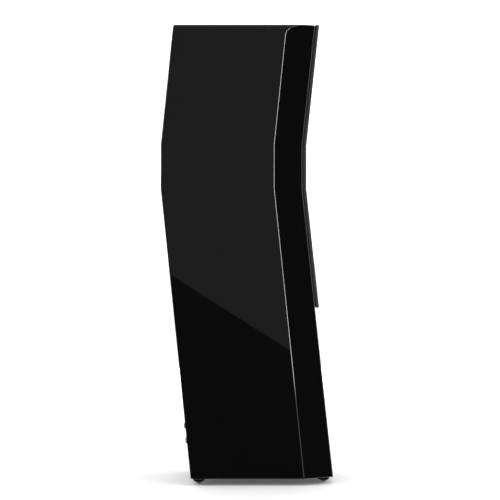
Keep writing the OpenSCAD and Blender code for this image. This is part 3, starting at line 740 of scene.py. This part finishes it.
def baffle():
    rings = []
    for z in levels(CABINET_BOTTOM, CABINET_TOP):
        right = Section(z).bevel_run()
        left = [(-x, y) for x, y in reversed(right)]
        rings.append([(x, y, z) for x, y in right + left])
    piece = loft("lacquered_baffle", rings, LACQUER, KNEES)
    cutters = [pocket()]
    for side in SIDES.values():
        cutters.append(stepped_hole(on_front(driver_z(WOOFER_U, side)), 1, *CONE_HOLE))
        cutters.append(stepped_hole(on_front(driver_z(MIDRANGE_U, side)), MIDRANGE_SCALE, *CONE_HOLE))
    cutters.append(stepped_hole(on_front(MIDDLE), 1, *TWEETER_HOLE))
    below = -10 * MM
    for foot in FEET[:2]:
        low, high = (Vector(c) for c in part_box(foot))
        centre = Matrix.Translation(((low.x + high.x) / 2, (low.y + high.y) / 2, CABINET_BOTTOM))
        profile = [(0, below), (INSERT_R, below), (INSERT_R, INSERT_DEPTH), (0, INSERT_DEPTH)]
        cutters.append(lathe("hole", profile, centre, LACQUER))
    cut(piece, cutters)
    shade(piece, KNEES)
    weigh_normals(piece)
    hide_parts("front_baffle")
    return piece


def build_cabinet():
    pieces = [side_panel("lacquered_side_panel_left", -1), side_panel("lacquered_side_panel_right", 1)]
    pieces += [top_panel(), baffle()]
    for piece in pieces:
        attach(piece, "cabinet")


build_cabinet()

# ---------- grille ----------

GRILLE_LO, GRILLE_HI = (Vector(corner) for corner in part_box("grille_cloth"))
GRILLE_T = 9.3 * MM
GRILLE_HALF = GRILLE_HI.x
CLOTH_T = 0.6 * MM
CLOTH_BACK = 3.2 * MM           # where the cloth ends, in front of the baffle
SHADOW_STRIP_BACK = 1.6 * MM             # where the dark strip ends; it is painted shadow of the gap between grille and baffle
SHADOW_STRIP_T = 0.45 * MM
SHADOW_STRIP_IN = 0.1 * MM               # the strip lies this far inside the cloth
SHADOW_STRIP_LAP = 0.3 * MM              # and reaches this far under it
CLOTH_R = 1.8 * MM
CLOTH_ARC = 6                   # steps of its rounded edges
CLOTH_ROWS = 12                 # rows on each leaning part
CLOTH_PULL = 0.2                # how much of the rounding at top and bottom the flanks follow


def grille_cloth():
    """One skin of cloth, stretched over the front and round the edges of the board."""
    low, high = GRILLE_LO.z, GRILLE_HI.z
    rises = [CLOTH_R * (1 - math.cos(math.pi / 2 * i / CLOTH_ARC)) for i in range(CLOTH_ARC + 1)]
    heights = {low + rise for rise in rises} | {high - rise for rise in rises}
    heights |= {low + (LOW - low) * i / CLOTH_ROWS for i in range(1, CLOTH_ROWS + 1)}
    heights |= {HIGH + (high - HIGH) * i / CLOTH_ROWS for i in range(CLOTH_ROWS)}
    rings = []
    for z in sorted(heights):
        depth = min(z - low, high - z)
        inset = CLOTH_R - math.sqrt(max(0.0, CLOTH_R**2 - max(0.0, CLOTH_R - depth) ** 2))
        front = front_y(z) - GRILLE_T + inset
        back = front_y(z) - CLOTH_BACK
        half = GRILLE_HALF - inset * CLOTH_PULL
        right = [(half, back)] + arc(half - CLOTH_R, front + CLOTH_R, CLOTH_R, 0, -math.pi / 2, CLOTH_ARC)
        right += [(half * (1 - i / 6) * 0.97, front) for i in range(1, 6)]
        left = [(-x, y) for x, y in reversed(right)]
        rings.append([(x, y, z) for x, y in right + left])
    cloth = loft("grille_fabric", rings, CLOTH, KNEES, closed=False, sharp=math.radians(50))
    skin = cloth.modifiers.new("thickness", "SOLIDIFY")
    skin.thickness = CLOTH_T
    skin.offset = -1
    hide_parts("grille_cloth")
    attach(cloth, "grille")
    return cloth


def grille_shadow_strip():
    """Flat dark strip round the board behind the cloth's edge: painted shadow of the gap between grille and
    baffle.
    """
    heights = (GRILLE_LO.z, LOW, HIGH, GRILLE_HI.z)
    half = GRILLE_HALF - SHADOW_STRIP_IN
    bm = bmesh.new()
    rings = ([], [], [], [])
    for side, column in ((1, heights), (-1, heights[::-1])):
        for z in column:
            near = front_y(z) - SHADOW_STRIP_BACK
            far = front_y(z) - CLOTH_BACK - SHADOW_STRIP_LAP
            outer_z = min(max(z, GRILLE_LO.z + SHADOW_STRIP_IN), GRILLE_HI.z - SHADOW_STRIP_IN)
            inner_z = min(max(z, GRILLE_LO.z + SHADOW_STRIP_T), GRILLE_HI.z - SHADOW_STRIP_T)
            outer, inner = (side * half, outer_z), (side * (half - SHADOW_STRIP_T), inner_z)
            for ring, y, (x, level) in zip(rings, (near, far, far, near), (outer, outer, inner, inner)):
                ring.append(bm.verts.new((x, y, level)))
    for i in range(4):
        bridge(bm, rings[i - 1], rings[i])
    hem = finish_mesh(bm, "grille_shadow_strip", SHADOW_STRIP_BLACK)
    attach(hem, "grille")


grille_shadow_strip()
cloth = grille_cloth()

# ---------- feet ----------


RIB_COUNT = 48
RIB_DEPTH = 0.35 * MM
RIB_FROM_R = 13.2 * MM
RIB_LOW, RIB_HIGH = 10 * MM, 14.6 * MM
THREAD_R = 4                    # in mm, as the foot's profile is
THREAD_ROOT_R = 3.5
THREAD_PITCH = 1.25


def knurl(radius, height, angle):
    """Fine vertical ribs on the rim of a foot."""
    on_rim = radius > RIB_FROM_R and RIB_LOW < height < RIB_HIGH
    return -RIB_DEPTH * (0.5 - 0.5 * math.cos(angle * RIB_COUNT)) if on_rim else 0.0


def foot(name):
    """A blunt spike under a ribbed disc, with a thread that goes up into the cabinet."""
    low, high = (Vector(c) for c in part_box(name))
    rim = (high.x - low.x) / 2 / MM
    top = CABINET_BOTTOM / MM - 0.3
    rim_low = top - 8
    thread_high = high.z / MM
    profile = [(0, 0), (1.9, 0), (2.5, 0.35)]
    profile += [(2.5 + (rim - 3.4) * t, 0.35 + (rim_low - 1.2) * t) for t in (0.25, 0.5, 0.75, 1)]
    profile += [
        (rim - 0.3, rim_low + 0.2), (rim, rim_low + 1), (rim, rim_low + 1.8), (rim - 0.02, rim_low + 2.4),
        (rim - 0.02, top - 1.9), (rim, top - 1.4), (rim - 0.4, top - 0.7), (rim - 1.5, top), (4.6, top),
        (THREAD_R, top + 0.5),
    ]
    turns = int((thread_high - 1 - top) / THREAD_PITCH) - 1
    for i in range(turns):
        base = top + 1 + i * THREAD_PITCH
        profile += [(THREAD_R, base), (THREAD_ROOT_R, base + THREAD_PITCH / 2)]
    profile += [(THREAD_R, thread_high - 1), (3, thread_high), (0, thread_high)]
    place = Matrix.Translation(((low.x + high.x) / 2, (low.y + high.y) / 2, 0))
    piece = lathe(name + "_spike", scaled(profile, MM), place, SPIKE_BLACK, segments=192, ripple=knurl)
    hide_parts(name)
    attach(piece, name)


for name in FEET:
    foot(name)

# ---------- cone drivers, drawn at woofer size on a flange at Z = 0 ----------

FORMER_R = 13.1 * MM            # outside of the voice coil's former
NECK_R = 13.2 * MM
RIM_R = 51 * MM
ROLL_OUT = 61 * MM
RIM_Z = -8 * MM
NECK_Z = -36 * MM
LEDGE_Z = -3.4 * MM             # the basket's ledge, under the surround's flange
LEDGE_OUT = 65.8 * MM
CONE_T = 1.1 * MM
CONE_FLARE = 1.5                # 1 is a straight cone, and more is a flared one
CONE_STEPS = 28
CAP_R = 21 * MM
CAP_RISE = 7 * MM
CAP_T = 0.6 * MM
SURROUND_T = 0.8 * MM
GLUE_R = RIM_R - 4 * MM         # inside of the surround's foot on the cone


def cone_z(r):
    t = (r - FORMER_R) / (RIM_R - FORMER_R)
    return NECK_Z + (RIM_Z - NECK_Z) * (1 - (1 - t) ** CONE_FLARE)


def cone_piece(name, place, scale, body):
    radii = [NECK_R + (RIM_R - 0.2 * MM - NECK_R) * i / CONE_STEPS for i in range(CONE_STEPS + 1)]
    profile = offset_profile([(r, cone_z(r)) for r in radii], CONE_T)
    piece = lathe(name + "_woven", scaled(profile, scale), place, CONE_FIBRE, segments=128)
    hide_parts(name)
    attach(piece, body)


def cap_piece(name, place, body):
    shell = dome(CAP_R, CAP_RISE, cone_z(CAP_R) + 0.25 * MM, 20)
    piece = lathe(name + "_pressed", offset_profile(shell, CAP_T), place, CAP_FIBRE)
    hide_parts(name)
    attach(piece, body)


def surround_profile():
    """Half roll with a flat flange outside and a foot glued on the cone's rim."""
    roll_r = (ROLL_OUT - RIM_R) / 2
    middle = (ROLL_OUT + RIM_R) / 2
    base = LEDGE_Z + SURROUND_T
    glue_z = cone_z(GLUE_R) + 0.05 * MM
    steps = 18
    outer = [(LEDGE_OUT, base), (62 * MM, base)] + arc(middle, base, roll_r, 0, math.pi, steps)
    outer += [(RIM_R - 0.2 * MM, glue_z + 3.4 * MM), (RIM_R - 0.9 * MM, glue_z + 1.9 * MM)]
    outer += [(GLUE_R, glue_z + 0.6 * MM)]
    inner = [(GLUE_R, glue_z), (RIM_R + 0.3 * MM, glue_z + 1.3 * MM), (RIM_R + 0.75 * MM, glue_z + 3.2 * MM)]
    inner += arc(middle, base, roll_r - SURROUND_T, math.pi, 0, steps)
    inner += [(61.6 * MM, LEDGE_Z), (LEDGE_OUT, LEDGE_Z)]
    return outer + inner


SPIDER_IN = 13.15 * MM
SPIDER_WAVES = 37.5 * MM        # radius where its waves end
SPIDER_OUT = 44 * MM
SPIDER_Z = -39.5 * MM
SPIDER_RISE = 3 * MM
SPIDER_T = 0.5 * MM
WAVE_HEIGHT = 0.6 * MM
WAVE_COUNT = 6
WAVE_STEPS = 48


def spider_z(r):
    return SPIDER_Z + SPIDER_RISE * max(0.0, (SPIDER_WAVES - r) / (SPIDER_WAVES - SPIDER_IN))


def spider_profile():
    """Corrugated disc, a little higher at the former than at its rim."""
    upper = []
    for i in range(WAVE_STEPS + 1):
        r = SPIDER_IN + (SPIDER_WAVES - SPIDER_IN) * i / WAVE_STEPS
        upper.append((r, spider_z(r) + WAVE_HEIGHT * math.sin(TURN * WAVE_COUNT * i / WAVE_STEPS)))
    upper.append((SPIDER_OUT, SPIDER_Z))
    return upper + [(r, z - SPIDER_T) for r, z in reversed(upper)]


def suspension_piece(name, place, scale):
    roll = lathe(name + "_roll", scaled(surround_profile(), scale), place, RUBBER, segments=128)
    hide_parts(name)
    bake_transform(roll)


def spider_piece(name, place, scale):
    spider = lathe(name + "_spider", scaled(spider_profile(), scale), place, SPIDER_CLOTH)
    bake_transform(spider)


def gasket(name, place, scale):
    """Ring over the surround's outer flange."""
    profile = [
        (61.6, -2.6), (61.6, -0.6), (62.1, 0.1), (62.9, 0.4),
        (65.0, 0.4), (65.6, 0.1), (65.9, -0.5), (65.9, -2.6),
    ]
    piece = lathe(name, scaled(scaled(profile, MM), scale), place, RUBBER, segments=128)
    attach(piece, "cabinet")


for side, sign in SIDES.items():
    for kind, u, scale in (("woofer", WOOFER_U, 1), ("midrange", MIDRANGE_U, MIDRANGE_SCALE)):
        place = on_front(driver_z(u, sign))
        body = f"{kind}_{side}_diaphragm"
        cone_piece(f"{kind}_{side}_cone", place, scale, body)
        if kind == "woofer":
            cap_piece(f"woofer_{side}_dust_cap", place, body)
        suspension_piece(f"{kind}_{side}_suspension", place, scale)
        spider_piece(f"{kind}_{side}", place, scale)
        gasket(f"{kind}_{side}_gasket", place, scale)

# ---------- tweeter ----------


FLARE_IN = 22.6                 # waveguide, in mm: it opens from here over FLARE_WIDE, and is FLARE_DEEP
FLARE_WIDE = 14.4
FLARE_DEEP = 2.0
SCREW_CIRCLE = 40 * MM
DOME_R = 13 * MM
DOME_RISE = 5 * MM
DOME_BASE = -8.4 * MM
DOME_ROLL_R = 1.7 * MM
WIRE_R = 21 * MM                # the mesh in front of the dome
WIRE_RISE = 4.3 * MM
WIRE_BASE = -2.7 * MM
WIRE_CELLS = 26
WIRE_T = 0.35 * MM


def tweeter_face(place):
    """Faceplate with a shallow waveguide and four countersunk holes."""
    steps = (0, 0.15, 0.3, 0.45, 0.6, 0.75, 0.9, 1.0)
    flare = [(FLARE_IN + FLARE_WIDE * t, FLARE_DEEP * (1 - (1 - t) ** 2.2) - FLARE_DEEP) for t in steps]
    plate = [(46.5, -4), (46.5, -0.5), (46.1, -0.1), (45.6, 0)] + flare[::-1]
    plate += [(21.6, -2.4), (21.3, -2.9), (19.5, -2.9), (18.3, -5.5), (18, -9), (32.5, -9), (32.5, -4)]
    face = lathe("tweeter_waveguide", scaled(plate, MM), place, PLATE_BLACK, segments=128)
    countersunk = [(0, -6), (1.8, -6), (1.8, -0.4), (3.6, 0.2), (3.6, 3), (0, 3)]
    holes = []
    for i in range(4):
        angle = math.pi / 4 + i * math.pi / 2
        across = Vector((math.cos(angle), math.sin(angle), 0)) * SCREW_CIRCLE
        spot = place @ Matrix.Translation(across)
        holes.append(lathe("hole", scaled(countersunk, MM), spot, PLATE_BLACK, segments=32))
    cut(face, holes)
    shade(face)
    weigh_normals(face)
    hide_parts("tweeter_faceplate")
    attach(face, "cabinet")


def tweeter_dome(place):
    """Dome with a low roll round it, which is half as high as it is wide."""
    roll = arc(DOME_R + 1.9 * MM, DOME_BASE, DOME_ROLL_R, math.pi, 0, 10)
    low_roll = [(r, (z + DOME_BASE) / 2) for r, z in roll]
    skin = offset_profile(dome(DOME_R, DOME_RISE, DOME_BASE, 16) + low_roll, 0.3 * MM)
    piece = lathe("tweeter_dome_skin", skin, place, DOME_METAL)
    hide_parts("tweeter_dome")
    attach(piece, "tweeter_diaphragm")


def tweeter_mesh(place):
    """Domed wire mesh and the rim that holds it."""
    ball = (WIRE_R**2 + WIRE_RISE**2) / (2 * WIRE_RISE)
    bm = bmesh.new()
    bmesh.ops.create_grid(bm, x_segments=WIRE_CELLS, y_segments=WIRE_CELLS, size=WIRE_R)
    bmesh.ops.rotate(bm, verts=bm.verts, matrix=Matrix.Rotation(math.pi / 4, 3, "Z"))
    outside = [f for f in bm.faces if f.calc_center_median().length > WIRE_R - 0.7 * MM]
    bmesh.ops.delete(bm, geom=outside, context="FACES")
    for v in bm.verts:
        v.co.z = WIRE_BASE + WIRE_RISE - ball + math.sqrt(ball**2 - v.co.x**2 - v.co.y**2)
    bmesh.ops.transform(bm, matrix=place, verts=bm.verts)
    wires = finish_mesh(bm, "tweeter_wire_mesh", PLATE_BLACK)
    strands = wires.modifiers.new("strands", "WIREFRAME")
    strands.thickness = WIRE_T
    strands.use_even_offset = False
    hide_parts("tweeter_mesh")
    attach(wires, "cabinet")
    rim = [(20.2, -2.9), (20.0, -2.5), (20.3, -2.1), (20.9, -2.1), (21.2, -2.5), (21.2, -2.9)]
    band = lathe("tweeter_mesh_rim", scaled(rim, MM), place, PLATE_BLACK)
    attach(band, "cabinet")


for make in (tweeter_face, tweeter_dome, tweeter_mesh):
    make(on_front(MIDDLE))

# ---------- terminals ----------


def post_place(index):
    x = POST_PITCH_X / 2 * (1, -1)[index % 2]
    y = POST_PITCH_Z / 2 * (1, -1)[index // 2]
    return on_back(CUP_Z) @ Matrix.Translation((x, y, 0))


def knob_ring(index, name):
    """Coloured ring let into a knob's collar."""
    profile = [(7.3, -12.1), (7.65, -11.9), (7.75, -11.4), (7.75, -10.6), (7.65, -10.1), (7.3, -9.9)]
    colour = RING_RED if name.endswith("red") else RING_BLACK
    ring = lathe(f"ring_{name}", scaled(profile, MM), post_place(index), colour, segments=64)
    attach(ring, "knob_" + name)


for index, name in enumerate(POST_NAMES):
    knob_ring(index, name)

# ---------- damping foam ----------


BRACE_T = 18 * MM
BRACES = (210 * MM, 385 * MM, 917 * MM)  # undersides of the window braces
FOAM_GAP = 1 * MM
FOAM_MEAN_T = 15 * MM
FOAM_EDGE_T = 10 * MM
FOAM_WAVE = 4.8 * MM
FOAM_PITCH = 22 * MM
FOAM_FRONT = 104 * MM           # from the back of the baffle board
FOAM_BACK = 8 * MM              # from the back panel
FOAM_GLUE = 0.3 * MM
FOAM_CELL = 7 * MM
FOAM_COLUMNS = 24


def foam_pad(bm, sign, low, high):
    """One pad with waves on its face, on the side given by sign."""
    rows = max(4, round((high - low) / FOAM_CELL))
    grid = []
    for i in range(rows + 1):
        z = low + (high - low) * i / rows
        near = front_y(z) + BAFFLE_T + FOAM_FRONT
        far = back_y(z) - WALL - FOAM_BACK
        row = []
        for j in range(FOAM_COLUMNS + 1):
            y = near + (far - near) * j / FOAM_COLUMNS
            crate = math.sin(TURN * y / FOAM_PITCH) * math.sin(TURN * z / FOAM_PITCH)
            edge = i in (0, rows) or j in (0, FOAM_COLUMNS)
            depth = FOAM_EDGE_T if edge else FOAM_MEAN_T + FOAM_WAVE * crate
            row.append(bm.verts.new((sign * (INNER_HALF - depth), y, z)))
        grid.append(row)
    for first, second in zip(grid, grid[1:]):
        bridge(bm, first, second, closed=False)
    border = grid[0] + [row[-1] for row in grid[1:]]
    border += grid[-1][-2::-1] + [row[0] for row in grid[-2:0:-1]]
    back = [bm.verts.new((sign * (INNER_HALF - FOAM_GLUE), v.co.y, v.co.z)) for v in border]
    bridge(bm, border, back)
    bm.faces.new(back)


def foam_pads():
    """Egg-crate pads on the inside of both sides, between the braces."""
    starts = [CABINET_BOTTOM + WALL + FOAM_GAP] + [z + BRACE_T + FOAM_GAP for z in BRACES]
    ends = [z - FOAM_GAP for z in BRACES] + [CABINET_TOP - WALL - FOAM_GAP]
    bm = bmesh.new()
    for sign in (1, -1):
        for low, high in zip(starts, ends):
            foam_pad(bm, sign, low, high)
    pads = finish_mesh(bm, "egg_crate_foam", FOAM, sharp=math.radians(60))
    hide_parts("damping_foam")
    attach(pads, "cabinet")


foam_pads()

# ---------- CAD nodes that stay ----------

for name, look in NODE_LOOKS.items():
    node = bpy.data.objects.get(name)
    node.data.materials.clear()
    node.data.materials.append(look)
for name in SOFTENED:
    soften_node(name)

# ---------- room ----------

FLOOR_SIZE = 60.0
BACKDROP = 1.6                  # what the camera sees behind the floor
AMBIENT = 1.35                  # what lights matt surfaces
DIM = 0.03                      # what polished surfaces mirror where no box of light stands
ABOVE = 0.25                    # the same, overhead
ABOVE_FROM = 28.0               # elevations in degrees where the room turns from DIM to ABOVE
ABOVE_FULL = 34.0

# Soft-edged boxes of light that only reflections see, in degrees: azimuth from the front towards +X
# and its half width, elevation from and to, softness, then radiance.
BOXES = [
    (-59, 3.5, -2.2, 40, 1.0, 24.0),    # draws the seam on the left
    (-59, 3.5, -8, 0, 1.5, 3.5),
    (59, 3.5, -3, 40, 3.0, 20.0),       # and on the right
    (-45, 5, 28, 62, 6.0, 5.0),         # draws the seam where it curves into the top
    (45, 5, 28, 62, 6.0, 5.0),
    (-21, 10, -4, 42, 4.0, 6.0),        # draws the front edge
    (21, 10, -4, 42, 4.0, 5.0),
    (-150, 6, 4, 11, 2.0, 17.0),        # draws the left back edge
    (150, 6, 4, 11, 2.0, 12.0),
    (133, 9, -5, 16, 8.0, 0.6),         # bevels from the front, upper back
    (-133, 9, -5, 16, 8.0, 0.6),
    (138, 12, -48, -32, 14.0, 0.9),     # right side from above, lower back
    (86, 14, -42, -20, 8.0, 1.4),       # right bevel from above
    (-45, 12, -34, -18, 10.0, 0.55),    # left side from behind, lower front from the right
    (-135, 12, 22, 40, 12.0, 0.9),      # top panel from the front
    (45, 12, 8, 22, 8.0, 0.5),          # top panel from behind
    (0, 15, 8, 20, 9.0, 0.45),          # lower front from ahead
]

# A panel of light behind the camera and its mirror image: its lower edge draws the diagonal on the side.
CARD_SIZE = (3.6, 2.6)
CARD_EDGE = Vector((-3.75, 0.085, 0.238))   # middle of the lower edge
CARD_SLOPE = math.radians(32.4)
CARD_RADIANCE = 0.24
CARD_COLOUR = (0.98, 0.98, 1.06)

# Lights that no reflection shows: name, place, target, size, radiance. The low ones light the floor.
MATT_LIGHTS = [
    ("key", (-2.4, -2.6, 2.6), (0, 0, 0.5), (1.2, 1.2), 1.6),
    ("low_card", (3.2, 0, 0.33), (0, 0, 0.02), (3.0, 0.34), 20.0),
    ("low_card", (-3.2, 0, 0.33), (0, 0, 0.02), (3.0, 0.34), 20.0),
]


def floor():
    bm = bmesh.new()
    bmesh.ops.create_grid(bm, x_segments=2, y_segments=2, size=FLOOR_SIZE)
    mesh = bpy.data.meshes.new("floor")
    bm.to_mesh(mesh)
    bm.free()
    look = Look("pale_floor", Roughness=0.6, Specular_IOR_Level=0.0)
    look.use(Base_Color=look.blend(look.noise(3), (0.86, 0.86, 0.86), (0.88, 0.88, 0.88)))
    piece = add_object("floor", mesh, look.material)
    piece.visible_glossy = False


def light(name, place, target, size, radiance, roll=0.0, diffuse=True, glossy=True):
    """A soft panel of light of the given radiance that faces its target."""
    data = bpy.data.lights.new(name, "AREA")
    data.shape = "RECTANGLE"
    data.size, data.size_y = size
    data.energy = radiance * math.pi * size[0] * size[1]
    lamp = new_object(name, data)
    toward = Vector(target) - Vector(place)
    facing = toward.to_track_quat("-Z", "Y").to_matrix().to_4x4()
    lamp.matrix_world = Matrix.Translation(place) @ facing @ Matrix.Rotation(roll, 4, "Z")
    lamp.visible_camera = False
    lamp.visible_diffuse = diffuse
    lamp.visible_glossy = glossy
    return lamp


def world():
    """White to the camera and to diffuse surfaces; reflections see a dim room with soft boxes of light."""
    scene = bpy.context.scene
    scene.world = bpy.data.worlds.new("room")
    scene.world.use_nodes = True
    scene.world.cycles.sampling_method = "NONE"
    sky = Nodes(scene.world.node_tree)
    degrees = 180 / math.pi
    parts = sky.split(sky.node("TexCoord").outputs["Generated"])
    forward = sky.math("MULTIPLY", parts["Y"], -1.0)
    azimuth = sky.math("MULTIPLY", sky.math("ARCTAN2", parts["X"], forward), degrees)
    elevation = sky.math("MULTIPLY", sky.math("ARCSINE", parts["Z"]), degrees)
    up = sky.math("SUBTRACT", 1.0, sky.fall(elevation, ABOVE_FROM, ABOVE_FULL))
    total = sky.math("MULTIPLY_ADD", up, ABOVE - DIM, DIM)
    for heading, half, low, high, soft, radiance in BOXES:
        turn = sky.math("WRAP", sky.math("SUBTRACT", azimuth, heading), 180, -180)
        climb = sky.math("SUBTRACT", elevation, (low + high) / 2)
        across = sky.fall(sky.math("ABSOLUTE", turn), half, half + soft)
        half_height = (high - low) / 2
        along = sky.fall(sky.math("ABSOLUTE", climb), half_height, half_height + soft)
        total = sky.math("MULTIPLY_ADD", sky.math("MULTIPLY", across, along), radiance, total)
    path = sky.node("LightPath").outputs
    seen = sky.math("MULTIPLY_ADD", path["Is Camera Ray"], BACKDROP - AMBIENT, AMBIENT)
    strength = sky.node("Mix", {"Factor": path["Is Glossy Ray"], "A": seen, "B": total}, data_type="FLOAT")
    sky.links.new(strength.outputs["Result"], sky.nodes["Background"].inputs["Strength"])
    sky.nodes["Background"].inputs["Color"].default_value = (1, 1, 1, 1)


def lights():
    up_the_slope = Vector((0, -math.sin(CARD_SLOPE), math.cos(CARD_SLOPE)))
    centre = CARD_EDGE + up_the_slope * (CARD_SIZE[1] / 2)
    for name, side in (("panel_card", 1), ("panel_card_mirrored", -1)):
        place = Vector((side * centre.x, centre.y, centre.z))
        inward = place + Vector((side, 0, 0))
        card = light(name, place, inward, CARD_SIZE, CARD_RADIANCE, roll=-side * CARD_SLOPE, diffuse=False)
        card.data.color = CARD_COLOUR
    for settings in MATT_LIGHTS:
        light(*settings, glossy=False)


floor()
world()
lights()
bpy.context.scene.view_settings.view_transform = "Standard"
